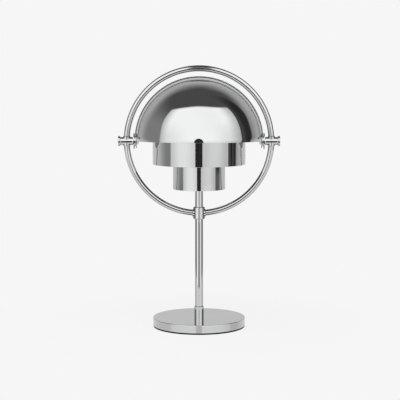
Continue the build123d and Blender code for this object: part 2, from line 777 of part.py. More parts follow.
with BuildPart() as led_screws:
    with BuildSketch(Plane.XY.offset(led_board_top)):
        with GridLocations(led_screw_spacing, 0, 2, 1):
            Circle(led_screw_diameter / 2)
    extrude(amount=-led_screw_length)
    with BuildSketch(Plane.XY.offset(led_board_top)):
        with GridLocations(led_screw_spacing, 0, 2, 1):
            Circle(led_screw_head_diameter / 2)
    extrude(amount=led_screw_head_height)
save(led_screws, "led_screws")

# Diffuser: an opal cup upside down over the light source, seated on the holder's shoulder
diffuser_inner_radius = holder_neck_diameter / 2 + diffuser_fit
diffuser_outer_radius = diffuser_inner_radius + diffuser_wall
with BuildPart() as diffuser:
    with BuildSketch(Plane.XY.offset(holder_shoulder)):
        Circle(diffuser_outer_radius)
    extrude(amount=diffuser_top - holder_shoulder)
    fillet(diffuser.edges().group_by(Axis.Z)[-1], diffuser_crown_round)
    with BuildSketch(front_plane):
        with Locations((0, holder_shoulder - pivot_height)):
            Rectangle(
                diffuser_inner_radius,
                diffuser_top - diffuser_wall - holder_shoulder,
                align=(Align.MIN, Align.MIN),
            )
        crown_corner = vertices().group_by(Axis.Y)[-1].sort_by(Axis.X)[-1]
        fillet(crown_corner, diffuser_crown_round - diffuser_wall)
    revolve(axis=Axis.Z, mode=Mode.SUBTRACT)
save(diffuser, "diffuser")

# Lamp lead: leaves the board, dips under the stem's end and runs up inside it
lead_height = board_underside - lamp_lead_diameter / 2
lead_low = cover_top + lamp_lead_cover_gap + lamp_lead_diameter / 2
lead_start = board_front + lamp_lead_tail
drop_start = board_front - lamp_lead_drop_gap
drop_end = drop_start - lamp_lead_drop_length
lead_points = (
    (0, lead_start, lead_height),
    (0, drop_start, lead_height),
    (0, drop_end, lead_low),
    (0, 0, lead_low),
    (0, 0, holder_top),
)
lead_bends = (lamp_lead_drop_bend, lamp_lead_drop_bend, lamp_lead_bend)
with BuildPart() as lamp_lead:
    with BuildLine() as lead_route:
        FilletPolyline(*lead_points, radius=lead_bends)
    with BuildSketch(rim_plane(0, lead_start, lead_height)):
        Circle(lamp_lead_diameter / 2)
    sweep(path=lead_route.wire())
save(lamp_lead, "lamp_lead")
print("lead bend radii", lead_bends)
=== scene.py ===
"""Looks of a chromed cordless table lamp: fine sheet pieces, finishes and a plain studio."""

from math import asin, pi, radians

import bmesh
import bpy
from mathutils import Matrix, Vector


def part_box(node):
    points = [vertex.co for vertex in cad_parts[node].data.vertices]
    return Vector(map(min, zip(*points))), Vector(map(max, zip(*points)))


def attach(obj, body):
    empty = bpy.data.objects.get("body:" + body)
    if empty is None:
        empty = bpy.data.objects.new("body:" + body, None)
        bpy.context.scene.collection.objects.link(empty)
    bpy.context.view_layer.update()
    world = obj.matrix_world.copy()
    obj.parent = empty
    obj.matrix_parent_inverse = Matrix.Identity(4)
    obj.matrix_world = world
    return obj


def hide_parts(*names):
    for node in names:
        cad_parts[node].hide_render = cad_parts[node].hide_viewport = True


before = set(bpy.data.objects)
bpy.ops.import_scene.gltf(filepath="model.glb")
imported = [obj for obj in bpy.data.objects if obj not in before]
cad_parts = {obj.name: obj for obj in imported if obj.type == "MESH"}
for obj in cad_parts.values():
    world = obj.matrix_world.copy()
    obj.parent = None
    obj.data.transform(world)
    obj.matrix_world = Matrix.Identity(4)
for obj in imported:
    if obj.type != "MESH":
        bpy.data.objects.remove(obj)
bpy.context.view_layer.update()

bl_info = {
    "name": "Cordless Table Lamp",
    "version": (1, 0, 0),
    "blender": (4, 5, 0),
    "location": "3D View > Sidebar > Lamp",
    "description": "Dresses a ring-mounted table lamp with its sheet pieces, finishes and studio",
    "category": "Object",
}

FULL_TURN = 2 * pi
SHARP_ANGLE = radians(20)
CORNER_ANGLE = radians(60)
SAME_POINT = 1e-6
CYLINDER_STEPS = 192
EAR_STEPS = 72
SHADE_STEPS_ACROSS = 120
SHADE_STEPS_ROUND = 64
TUBE_SIDES = 40
RING_STEPS = 300
FLOOR_RADIUS = 0.41
FLOOR_PLACE = (0, 0.12, -0.0001)
CAMERA_OUTLINE_RADIUS = 0.255
CAMERA_OUTLINE_HEIGHT = 0.20
CAMERA_OUTLINE_SHIFT = -0.012
OVERHEAD_PLACE = (-0.25, -0.35, 1.4)
OVERHEAD_AIM = Vector((0, 0, 0.1))
OVERHEAD_WIDTH = 1.2
TABLE_LIGHT = 0.86
EDGE_TINT = (0.35, 0.35, 0.35, 1.0)


def width_of(node, axis=0):
    """Extent of a node's box along one axis."""
    low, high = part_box(node)
    return high[axis] - low[axis]


def pivot_height():
    """Height of the axis that both pivot bolts share."""
    low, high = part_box("pivot_bolt_left")
    return (low.z + high.z) / 2


class LampSizes(bpy.types.PropertyGroup):
    sheet_thickness: bpy.props.FloatProperty(
        name="Sheet",
        description="Thickness of the spun sheet of the shades and cylinders",
        default=0.001,
        unit="LENGTH",
        subtype="DISTANCE",
    )
    rim_round: bpy.props.FloatProperty(
        name="Rim rounding",
        description="How far the cut edges of the sheet are broken",
        default=0.0002,
        unit="LENGTH",
        subtype="DISTANCE",
    )
    outer_rim_round: bpy.props.FloatProperty(
        name="Outer rim rounding",
        description="Rounding of the larger shade's rim, which shows beside the smaller one",
        default=0.0004,
        unit="LENGTH",
        subtype="DISTANCE",
    )
    shade_arc: bpy.props.FloatProperty(
        name="Shade arc",
        description="How far a shade reaches round the pivots from its upright edge",
        default=radians(88.5),
        unit="ROTATION",
        subtype="ANGLE",
    )
    inner_ear: bpy.props.FloatProperty(
        name="Inner ear",
        description="Diameter of the disc at each end of the smaller shade",
        default=0.0185,
        unit="LENGTH",
        subtype="DISTANCE",
    )
    outer_ear: bpy.props.FloatProperty(
        name="Outer ear",
        description="Diameter of the disc at each end of the larger shade",
        default=0.014,
        unit="LENGTH",
        subtype="DISTANCE",
    )
    ear_thickness: bpy.props.FloatProperty(
        name="Ear thickness",
        description="Thickness of those discs",
        default=0.0012,
        unit="LENGTH",
        subtype="DISTANCE",
    )
    bolt_hole: bpy.props.FloatProperty(
        name="Bolt hole",
        description="Diameter of the hole in an ear",
        default=0.0041,
        unit="LENGTH",
        subtype="DISTANCE",
    )
    ring_end_depth: bpy.props.FloatProperty(
        name="Ring end depth",
        description="How far the ring's ends reach into the collar's round",
        default=0.0015,
        unit="LENGTH",
        subtype="DISTANCE",
    )


class LampColours(bpy.types.PropertyGroup):
    chrome: bpy.props.FloatVectorProperty(
        name="Chrome",
        description="Reflectance of the chrome plate",
        default=(0.60, 0.602, 0.606),
        subtype="COLOR",
    )
    zinc: bpy.props.FloatVectorProperty(
        name="Zinc",
        description="Plating of the screws, nuts and washers",
        default=(0.56, 0.56, 0.54),
        subtype="COLOR",
    )
    aluminium: bpy.props.FloatVectorProperty(
        name="Aluminium",
        description="Anodised heat sink",
        default=(0.66, 0.67, 0.68),
        subtype="COLOR",
    )
    opal: bpy.props.FloatVectorProperty(
        name="Opal",
        description="Diffuser over the light source",
        default=(0.90, 0.89, 0.86),
        subtype="COLOR",
    )
    nylon: bpy.props.FloatVectorProperty(
        name="Nylon",
        description="The switch's plunger",
        default=(0.80, 0.79, 0.75),
        subtype="COLOR",
    )
    rubber: bpy.props.FloatVectorProperty(
        name="Rubber",
        description="Foot under the base",
        default=(0.006, 0.006, 0.006),
        subtype="COLOR",
    )
    board: bpy.props.FloatVectorProperty(
        name="Solder mask",
        description="Control board",
        default=(0.012, 0.11, 0.045),
        subtype="COLOR",
    )
    film: bpy.props.FloatVectorProperty(
        name="Battery film",
        description="Shrunk film round the battery",
        default=(0.035, 0.11, 0.29),
        subtype="COLOR",
    )


class LampStudio(bpy.types.PropertyGroup):
    background: bpy.props.FloatVectorProperty(
        name="Background",
        description="Colour of the floor and of what lies behind the lamp",
        default=(0.922, 0.922, 0.922),
        subtype="COLOR",
    )
    wall_strength: bpy.props.FloatProperty(
        name="Front wall",
        description="Strength of the lit cloth in front of the lamp",
        default=1.46,
        min=0.0,
    )
    overhead_power: bpy.props.FloatProperty(
        name="Overhead light",
        description="Power of the soft light over the floor",
        default=8.0,
        unit="POWER",
    )
    camera_distance: bpy.props.FloatProperty(
        name="Camera distance",
        description="From the stem to the camera, along the floor",
        default=1.623,
        unit="LENGTH",
        subtype="DISTANCE",
    )
    camera_offset: bpy.props.FloatProperty(
        name="Camera offset",
        description="How far the camera stands to the right of the stem",
        default=0.0012,
        unit="LENGTH",
        subtype="DISTANCE",
    )
    camera_height: bpy.props.FloatProperty(
        name="Camera height",
        description="Height of the camera over the floor",
        default=0.331,
        unit="LENGTH",
        subtype="DISTANCE",
    )
    camera_tilt: bpy.props.FloatProperty(
        name="Camera tilt",
        description="How far the camera looks down",
        default=radians(5.97),
        unit="ROTATION",
        subtype="ANGLE",
    )
    camera_lens: bpy.props.FloatProperty(
        name="Focal length",
        description="Focal length on a 36 mm wide sensor, in millimetres",
        default=116.1,
        subtype="DISTANCE_CAMERA",
    )


class Signal:
    """One socket of a node tree. Arithmetic on it adds Math nodes."""

    def __init__(self, nodes, socket):
        self.nodes = nodes
        self.socket = socket

    def maths(self, operation, first, second=0.0):
        return self.nodes.add("ShaderNodeMath", {"operation": operation}, {0: first, 1: second})

    def __add__(self, other):
        return self.maths("ADD", self, other)

    def __radd__(self, other):
        return self.maths("ADD", other, self)

    def __sub__(self, other):
        return self.maths("SUBTRACT", self, other)

    def __rsub__(self, other):
        return self.maths("SUBTRACT", other, self)

    def __mul__(self, other):
        return self.maths("MULTIPLY", self, other)

    def __rmul__(self, other):
        return self.maths("MULTIPLY", other, self)

    def __neg__(self):
        return self.maths("MULTIPLY", self, -1.0)

    def __abs__(self):
        return self.maths("ABSOLUTE", self)


class Nodes:
    """A node tree, with one method that adds any node and a few named mixes of nodes."""

    def __init__(self, tree):
        self.tree = tree
        tree.nodes.clear()

    def add(self, kind, settings=None, values=None, output=0):
        """Adds a node, sets it, then fills its sockets with values or links."""
        node = self.tree.nodes.new(kind)
        for name, value in (settings or {}).items():
            setattr(node, name, value)
        for name, value in (values or {}).items():
            if isinstance(value, Signal):
                self.tree.links.new(value.socket, node.inputs[name])
            else:
                node.inputs[name].default_value = value
        if output is not None:
            return Signal(self, node.outputs[output])

    def place(self, scale=(1, 1, 1)):
        """Object coordinates in metres, stretched by a scale."""
        here = self.add("ShaderNodeTexCoord", output="Object")
        if scale == (1, 1, 1):
            return here
        return self.add("ShaderNodeMapping", values={"Vector": here, "Scale": scale})

    def part(self, vector, axis):
        """One of a vector's three numbers, by the letter of its axis."""
        return self.add("ShaderNodeSeparateXYZ", values={"Vector": vector}, output=axis)

    def cloud(self, where, scale, detail=2.0, roughness=0.5):
        """Noise from 0 to 1."""
        values = {"Vector": where, "Scale": scale, "Detail": detail, "Roughness": roughness}
        return self.add("ShaderNodeTexNoise", values=values, output="Fac")

    def spots(self, where, scale):
        """Distance to the nearest of many scattered points."""
        return self.add("ShaderNodeTexVoronoi", values={"Vector": where, "Scale": scale}, output="Distance")

    def rise(self, value, start, end):
        """0 at the start and 1 at the end, eased at both."""
        settings = {"interpolation_type": "SMOOTHSTEP"}
        values = {"Value": value, "From Min": start, "From Max": end}
        return self.add("ShaderNodeMapRange", settings, values, "Result")

    def ease(self, angle, start, end):
        """The same for an angle, between two given in degrees."""
        return self.rise(angle, radians(start), radians(end))

    def ray(self, kind):
        """1 for the rays of one kind and 0 for all others."""
        return self.add("ShaderNodeLightPath", output=f"Is {kind} Ray")

    def blend(self, share, first, second):
        """Mixes two colours."""
        return self.add("ShaderNodeMix", {"data_type": "RGBA"}, {0: share, 6: first, 7: second}, 2)

    def bump(self, height, depth):
        """Turns a height from 0 to 1 into a normal, with the depth in metres."""
        values = {"Height": height, "Distance": depth, "Strength": 1.0}
        return self.add("ShaderNodeBump", values=values, output="Normal")

    def length(self, vector):
        """How far a point is from the origin."""
        return self.add("ShaderNodeVectorMath", {"operation": "LENGTH"}, {0: vector}, "Value")

    def lead_to(self, kind, surface):
        """Ends the tree in its output node."""
        self.add(kind, values={"Surface": surface}, output=None)


def opaque(colour, factor=1.0):
    """A colour, made darker or lighter by a factor, with full alpha."""
    return (*(min(channel * factor, 1.0) for channel in colour), 1.0)


def towards(first, second, share):
    """Moves a number towards another by a share of the way."""
    return first + (second - first) * share


def finish(name, constants, recipe):
    """Makes a material once: constants go on the shader's own sockets, the recipe feeds the rest."""
    if name in bpy.data.materials:
        return bpy.data.materials[name]
    material = bpy.data.materials.new(name)
    material.use_nodes = True
    nodes = Nodes(material.node_tree)
    varying = recipe(nodes)
    surface = nodes.add("ShaderNodeBsdfPrincipled", values={**constants, **varying})
    nodes.lead_to("ShaderNodeOutputMaterial", surface)
    return material


def inside_of(nodes, shade, where):
    """1 on a shade's inner face and 0 on its outer one."""
    middle = (width_of(shade) - bpy.context.scene.lamp_sizes.sheet_thickness) / 2
    pivots = Vector((0, 0, pivot_height()))
    reach = nodes.add("ShaderNodeVectorMath", {"operation": "DISTANCE"}, {0: where, 1: pivots}, "Value")
    return nodes.rise(reach, middle + 0.0001, middle - 0.0001)


def chrome_sheet(shade=None):
    """Polished, chromed sheet with faint waves and a light haze; a shade is satin on its inside."""
    colour = bpy.context.scene.lamp_colours.chrome

    def recipe(nodes):
        where = nodes.place()
        haze = nodes.rise(nodes.cloud(where, 26.0, 3.0, 0.6), 0.48, 0.74)
        specks = nodes.rise(nodes.spots(where, 420.0), 0.10, 0.03)
        waves = nodes.cloud(where, 17.0, 1.0, 0.3)
        tint = nodes.blend(haze * 0.6, opaque(colour), opaque(colour, 0.93))
        roughness = 0.035 + 0.03 * haze + 0.10 * specks
        if shade:
            roughness = roughness + 0.16 * inside_of(nodes, shade, where)
        return {
            "Base Color": nodes.blend(specks * 0.25, tint, opaque(colour, 0.7)),
            "Roughness": roughness,
            "Normal": nodes.bump(waves, 0.00002),
        }

    return finish(f"chrome_{shade or 'sheet'}", {"Metallic": 1.0}, recipe)


def chrome_tube():
    """Drawn and polished tube: lines of the polishing belt along it, almost gone under the plate."""
    colour = bpy.context.scene.lamp_colours.chrome

    def recipe(nodes):
        where = nodes.place()
        haze = nodes.rise(nodes.cloud(where, 60.0, 3.0, 0.6), 0.45, 0.75)
        grain = nodes.cloud(nodes.place((900, 900, 60)), 1.0, 2.0, 0.6)
        return {
            "Base Color": nodes.blend(haze * 0.5, opaque(colour), opaque(colour, 0.94)),
            "Roughness": 0.030 + 0.025 * haze + 0.012 * grain,
            "Normal": nodes.bump(grain, 0.0000002),
        }

    return finish("chrome_tube", {"Metallic": 1.0, "Specular Tint": EDGE_TINT}, recipe)


def chrome_ring():
    """Bent and polished tube, with the dull, darker stretch where its ends are joined on top."""
    colour = bpy.context.scene.lamp_colours.chrome
    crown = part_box("ring_tube")[1].z

    def recipe(nodes):
        where = nodes.place()
        haze = nodes.rise(nodes.cloud(where, 60.0, 3.0, 0.6), 0.45, 0.75)
        smoke = nodes.cloud(nodes.place((90, 300, 300)), 1.0, 3.0, 0.6)
        joint = nodes.rise(abs(nodes.part(where, "X") - 0.002) + 0.005 * smoke, 0.027, 0.009)
        joint = joint * nodes.rise(nodes.part(where, "Z"), crown - 0.0072, crown - 0.0040)
        plate = nodes.blend(haze * 0.5, opaque(colour), opaque(colour, 0.94))
        toned = nodes.blend(smoke, opaque((0.05, 0.05, 0.052)), opaque((0.15, 0.15, 0.152)))
        return {
            "Base Color": nodes.blend(joint, plate, toned),
            "Roughness": 0.030 + 0.025 * haze + 0.22 * joint,
            "Normal": nodes.bump(smoke * joint, 0.000004),
        }

    return finish("chrome_ring", {"Metallic": 1.0, "Specular Tint": EDGE_TINT}, recipe)


def chrome_turned():
    """Turned and plated small parts: very fine rings of the lathe and worn, softer edges."""
    colour = bpy.context.scene.lamp_colours.chrome

    def recipe(nodes):
        where = nodes.place()
        haze = nodes.rise(nodes.cloud(where, 140.0, 3.0, 0.6), 0.42, 0.78)
        lathe = nodes.cloud(nodes.place((2600, 120, 2600)), 1.0, 1.0, 0.5)
        return {
            "Base Color": nodes.blend(haze * 0.7, opaque(colour), opaque(colour, 0.90)),
            "Roughness": 0.035 + 0.035 * haze + 0.02 * lathe,
            "Normal": nodes.bump(lathe, 0.0000003),
        }

    return finish("chrome_turned", {"Metallic": 1.0, "Specular Tint": EDGE_TINT}, recipe)


def chrome_base():
    """Plate of the wide flat base: mirror with rings of its facing cut, and a painted shadow line, dark and
    dull, along the foot.
    """
    colour = bpy.context.scene.lamp_colours.chrome
    low_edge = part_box("base_shell")[0].z

    def recipe(nodes):
        where = nodes.place()
        flat = nodes.length(nodes.place((1, 1, 0)))
        rings = nodes.add("ShaderNodeMath", {"operation": "SINE"}, {0: flat * 9000.0})
        haze = nodes.rise(nodes.cloud(where, 30.0, 4.0, 0.6), 0.45, 0.75)
        marks = nodes.rise(nodes.cloud(nodes.place((40, 900, 40)), 1.0, 2.0, 0.7), 0.66, 0.72)
        # Painted shadow: the plate's bottom edge, next to the foot, is coloured nearly black and made dull.
        foot_shadow_line = nodes.rise(nodes.part(where, "Z"), low_edge + 0.0004, low_edge + 0.0003)
        plate = nodes.blend(haze * 0.5, opaque(colour), opaque(colour, 0.94))
        return {
            "Base Color": nodes.blend(foot_shadow_line, plate, opaque(colour, 0.04)),
            "Roughness": 0.030 + 0.030 * haze + 0.05 * marks + 0.006 * rings + 0.3 * foot_shadow_line,
            "Normal": nodes.bump(nodes.cloud(where, 22.0, 1.0, 0.3), 0.00004),
        }

    return finish("chrome_base", {"Metallic": 1.0}, recipe)


def zinc_plate():
    """Zinc-plated fasteners: greyish, soft shine with a crystalline mottle."""
    colour = bpy.context.scene.lamp_colours.zinc

    def recipe(nodes):
        where = nodes.place()
        mottle = nodes.cloud(where, 700.0, 3.0, 0.7)
        stain = nodes.rise(nodes.cloud(where, 180.0, 2.0, 0.5), 0.5, 0.8)
        tint = nodes.blend(mottle, opaque(colour, 0.86), opaque(colour, 1.08))
        return {
            "Base Color": nodes.blend(stain * 0.5, tint, opaque((0.42, 0.40, 0.34))),
            "Roughness": 0.26 + 0.16 * mottle + 0.10 * stain,
            "Normal": nodes.bump(mottle, 0.000006),
        }

    return finish("zinc_plate", {"Metallic": 1.0}, recipe)


def ballast_paint():
    """Matt black paint over cut steel, with orange peel and rubbed, greyer patches."""

    def recipe(nodes):
        where = nodes.place()
        peel = nodes.cloud(where, 900.0, 2.0, 0.5)
        rubbed = nodes.rise(nodes.cloud(where, 55.0, 4.0, 0.65), 0.52, 0.72)
        paint, bare = opaque((0.020, 0.020, 0.022)), opaque((0.075, 0.073, 0.070))
        return {
            "Base Color": nodes.blend(rubbed * 0.5, paint, bare),
            "Roughness": 0.50 + 0.16 * peel - 0.12 * rubbed,
            "Normal": nodes.bump(peel, 0.00003),
        }

    return finish("ballast_paint", {"Metallic": 0.0}, recipe)


def turned_aluminium():
    """Anodised heat sink with the lathe's grooves round its axis."""
    colour = bpy.context.scene.lamp_colours.aluminium

    def recipe(nodes):
        where = nodes.place()
        grooves = nodes.cloud(nodes.place((30, 30, 3500)), 1.0, 2.0, 0.6)
        bloom = nodes.cloud(where, 120.0, 3.0, 0.6)
        tint = nodes.blend(grooves, opaque(colour, 0.88), opaque(colour, 1.06))
        return {
            "Base Color": nodes.blend(bloom * 0.3, tint, opaque(colour, 0.75)),
            "Roughness": 0.28 + 0.14 * bloom,
            "Normal": nodes.bump(grooves, 0.000012),
        }

    return finish("turned_aluminium", {"Metallic": 1.0}, recipe)


def grained_plastic():
    """Black moulded plastic with a fine spark-eroded grain."""

    def recipe(nodes):
        where = nodes.place()
        grain = nodes.cloud(where, 2400.0, 2.0, 0.6)
        sheen = nodes.cloud(where, 40.0, 3.0, 0.6)
        return {
            "Base Color": nodes.blend(sheen, opaque((0.018, 0.018, 0.019)), opaque((0.032, 0.032, 0.034))),
            "Roughness": 0.42 + 0.14 * grain + 0.08 * sheen,
            "Normal": nodes.bump(grain, 0.00002),
        }

    return finish("grained_plastic", {"Metallic": 0.0}, recipe)


def shrunk_film():
    """Film shrunk over the battery: glossy, with pulled wrinkles towards its ends."""
    colour = bpy.context.scene.lamp_colours.film

    def recipe(nodes):
        where = nodes.place()
        pulls = nodes.cloud(nodes.place((60, 480, 120)), 1.0, 3.0, 0.6)
        tone = nodes.cloud(where, 45.0, 2.0, 0.5)
        return {
            "Base Color": nodes.blend(tone, opaque(colour, 0.8), opaque(colour, 1.2)),
            "Roughness": 0.24 + 0.14 * pulls,
            "Normal": nodes.bump(pulls, 0.00012),
        }

    return finish("shrunk_film", {"Metallic": 0.0}, recipe)


def turned_nylon():
    """Natural nylon: milky, slightly uneven in tone, with a soft cut surface."""
    colour = bpy.context.scene.lamp_colours.nylon

    def recipe(nodes):
        where = nodes.place()
        milk = nodes.cloud(where, 260.0, 3.0, 0.6)
        cut = nodes.cloud(nodes.place((80, 1800, 1800)), 1.0, 1.0, 0.5)
        return {
            "Base Color": nodes.blend(milk, opaque(colour, 0.90), opaque(colour, 1.05)),
            "Roughness": 0.36 + 0.14 * milk,
            "Normal": nodes.bump(cut, 0.000006),
        }

    return finish("turned_nylon", {"Subsurface Weight": 0.15, "Subsurface Scale": 0.001}, recipe)


def solder_mask():
    """Control board: green mask over copper tracks and gold vias, with dark parts under it."""
    colour = bpy.context.scene.lamp_colours.board
    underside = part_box("control_board")[1].z - 0.001

    def recipe(nodes):
        where = nodes.place()
        settings = {"distance": "MANHATTAN", "feature": "F1"}
        tracks = nodes.add("ShaderNodeTexVoronoi", settings, {"Vector": where, "Scale": 330.0}, "Distance")
        copper = nodes.rise(abs(tracks - 0.42), 0.05, 0.03)
        vias = nodes.rise(nodes.spots(where, 260.0), 0.10, 0.07)
        part = nodes.rise(nodes.part(where, "Z"), underside - 0.00002, underside - 0.00008)
        mask = nodes.blend(copper * 0.7, opaque(colour), opaque(colour, 2.1))
        plated = nodes.blend(vias, mask, opaque((0.70, 0.48, 0.16)))
        return {
            "Base Color": nodes.blend(part, plated, opaque((0.022, 0.022, 0.024))),
            "Roughness": 0.30 + 0.18 * part - 0.06 * vias,
            "Normal": nodes.bump(copper, 0.00002),
        }

    return finish("solder_mask", {"Metallic": 0.0}, recipe)


def white_mask():
    """Light board: white mask with a faint yellowing near the light's chips."""

    def recipe(nodes):
        where = nodes.place()
        tone = nodes.cloud(where, 300.0, 2.0, 0.5)
        flow = nodes.cloud(where, 90.0, 2.0, 0.5)
        return {
            "Base Color": nodes.blend(flow, opaque((0.80, 0.80, 0.78)), opaque((0.84, 0.82, 0.74))),
            "Roughness": 0.28 + 0.12 * tone,
            "Normal": nodes.bump(tone, 0.000008),
        }

    return finish("white_mask", {"Metallic": 0.0}, recipe)


def phosphor():
    """Phosphor of the light's chips under clear silicone, grainy and deeper at the edges."""

    def recipe(nodes):
        where = nodes.place()
        grains = nodes.cloud(where, 5200.0, 2.0, 0.7)
        pool = nodes.cloud(where, 520.0, 1.0, 0.5)
        tint = nodes.blend(pool, opaque((0.86, 0.62, 0.12)), opaque((0.92, 0.76, 0.26)))
        return {
            "Base Color": nodes.blend(grains * 0.4, tint, opaque((0.66, 0.42, 0.06))),
            "Roughness": 0.14 + 0.10 * grains,
            "Normal": nodes.bump(grains, 0.00001),
        }

    return finish("phosphor", {"Coat Roughness": 0.05, "Coat Weight": 0.6}, recipe)


def opal_cup():
    """Opal diffuser: satin outside, milky through its wall."""
    colour = bpy.context.scene.lamp_colours.opal

    def recipe(nodes):
        where = nodes.place()
        milk = nodes.cloud(where, 70.0, 2.0, 0.5)
        frost = nodes.cloud(where, 3200.0, 2.0, 0.6)
        return {
            "Base Color": nodes.blend(milk, opaque(colour, 0.96), opaque(colour, 1.02)),
            "Roughness": 0.38 + 0.12 * frost,
            "Normal": nodes.bump(frost, 0.000006),
        }

    return finish("opal_cup", {"Subsurface Weight": 0.35, "Subsurface Scale": 0.003}, recipe)


def foot_rubber():
    """Black rubber with a fine grain, greyed by dust."""
    colour = bpy.context.scene.lamp_colours.rubber

    def recipe(nodes):
        where = nodes.place()
        grain = nodes.cloud(where, 1900.0, 3.0, 0.7)
        dust = nodes.rise(nodes.cloud(where, 85.0, 4.0, 0.7), 0.50, 0.80)
        return {
            "Base Color": nodes.blend(dust * 0.3, opaque(colour), opaque((0.026, 0.025, 0.024))),
            "Roughness": 0.66 + 0.20 * grain,
            "Normal": nodes.bump(grain, 0.00004),
        }

    return finish("foot_rubber", {"Specular IOR Level": 0.08}, recipe)


def lead_sleeve():
    """Soft black sleeve of the lead to the light, dusted with talc."""

    def recipe(nodes):
        where = nodes.place()
        talc = nodes.rise(nodes.cloud(where, 240.0, 3.0, 0.7), 0.50, 0.80)
        return {
            "Base Color": nodes.blend(talc * 0.5, opaque((0.026, 0.026, 0.027)), opaque((0.11, 0.11, 0.11))),
            "Roughness": 0.52 + 0.20 * talc,
            "Normal": nodes.bump(talc, 0.00001),
        }

    return finish("lead_sleeve", {"Metallic": 0.0}, recipe)


def paired_sleeves():
    """The battery's pair of leads, the outer one red and the inner one black."""
    low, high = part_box("battery_leads")
    middle = (low.x + high.x) / 2

    def recipe(nodes):
        where = nodes.place()
        talc = nodes.rise(nodes.cloud(where, 240.0, 3.0, 0.7), 0.50, 0.80)
        red = nodes.rise(nodes.part(where, "X"), middle - 0.00005, middle + 0.00005)
        sleeve = nodes.blend(red, opaque((0.024, 0.024, 0.026)), opaque((0.42, 0.018, 0.014)))
        return {
            "Base Color": nodes.blend(talc * 0.2, sleeve, opaque((0.30, 0.29, 0.28))),
            "Roughness": 0.42 + 0.20 * talc,
            "Normal": nodes.bump(talc, 0.00001),
        }

    return finish("paired_sleeves", {"Metallic": 0.0}, recipe)


def port_metal():
    """Charging port: folded steel shell with a black tongue inside."""
    low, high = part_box("usb_c_port")
    middle = (low.z + high.z) / 2

    def recipe(nodes):
        where = nodes.place()
        x, y, z = (nodes.part(where, axis) for axis in "XYZ")
        inside = nodes.rise(abs(x), 0.0040, 0.0039) * nodes.rise(abs(z - middle), 0.00125, 0.00120)
        tongue = inside * nodes.rise(y, high.y - 0.0066, high.y - 0.0064)
        drawn = nodes.cloud(nodes.place((200, 3200, 200)), 1.0, 2.0, 0.6)
        steel = nodes.blend(drawn, opaque((0.50, 0.50, 0.49)), opaque((0.62, 0.62, 0.60)))
        return {
            "Base Color": nodes.blend(tongue, steel, opaque((0.015, 0.015, 0.016))),
            "Metallic": 1.0 - tongue,
            "Roughness": 0.24 + 0.12 * drawn + 0.16 * tongue,
            "Normal": nodes.bump(drawn, 0.000004),
        }

    return finish("port_metal", {}, recipe)


def dress(material, *nodes):
    """Puts a finish on CAD nodes, whose meshes stay as they are."""
    for name in nodes:
        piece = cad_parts[name]
        if not piece.material_slots:
            piece.data.materials.append(material)
        for slot in piece.material_slots:
            slot.material = material


def turn_outline(shape, outline, centre, axis, steps):
    """Spins a closed outline of points, given as (along the axis, radius), once round an axis."""
    across = Vector((0, 0, 1)) if abs(axis.z) < 0.5 else Vector((1, 0, 0))
    points = [shape.verts.new(centre + axis * along + across * radius) for along, radius in outline]
    edges = [shape.edges.new((points[i - 1], points[i])) for i in range(len(points))]
    bmesh.ops.spin(
        shape,
        geom=points + edges,
        cent=centre,
        axis=axis,
        angle=FULL_TURN,
        steps=steps,
        use_merge=True,
    )


def break_edges(shape, amount):
    """Rounds the sharp edges of a shape."""
    bmesh.ops.remove_doubles(shape, verts=shape.verts, dist=SAME_POINT)
    bmesh.ops.recalc_face_normals(shape, faces=shape.faces)
    joined = [edge for edge in shape.edges if len(edge.link_faces) == 2]
    sharp = [edge for edge in joined if edge.calc_face_angle() > CORNER_ANGLE]
    bmesh.ops.bevel(
        shape,
        geom=sharp,
        offset=amount,
        offset_type="OFFSET",
        segments=2,
        profile=0.5,
        affect="EDGES",
        material=-1,
        clamp_overlap=True,
    )


def finished_piece(name, shape, material, body, slot, *replaced):
    """Turns a shape into a smooth object that rides on a body and stands for CAD nodes."""
    mesh = bpy.data.meshes.new(name)
    shape.to_mesh(mesh)
    shape.free()
    mesh.shade_smooth()
    mesh.set_sharp_from_angle(angle=SHARP_ANGLE)
    mesh.materials.append(material)
    piece = bpy.data.objects.new(name, mesh)
    bpy.context.scene.collection.objects.link(piece)
    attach(piece, body)
    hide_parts(*replaced)


def cylinder_shape(node, sheet, rim_round):
    """Open cylinder of thin sheet with rounded rims, where the node stands."""
    low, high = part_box(node)
    outer = (high.x - low.x) / 2
    outline = ((low.z, outer - sheet), (low.z, outer), (high.z, outer), (high.z, outer - sheet))
    shape = bmesh.new()
    turn_outline(shape, outline, Vector((0, 0, 0)), Vector((0, 0, 1)), CYLINDER_STEPS)
    break_edges(shape, rim_round)
    return shape


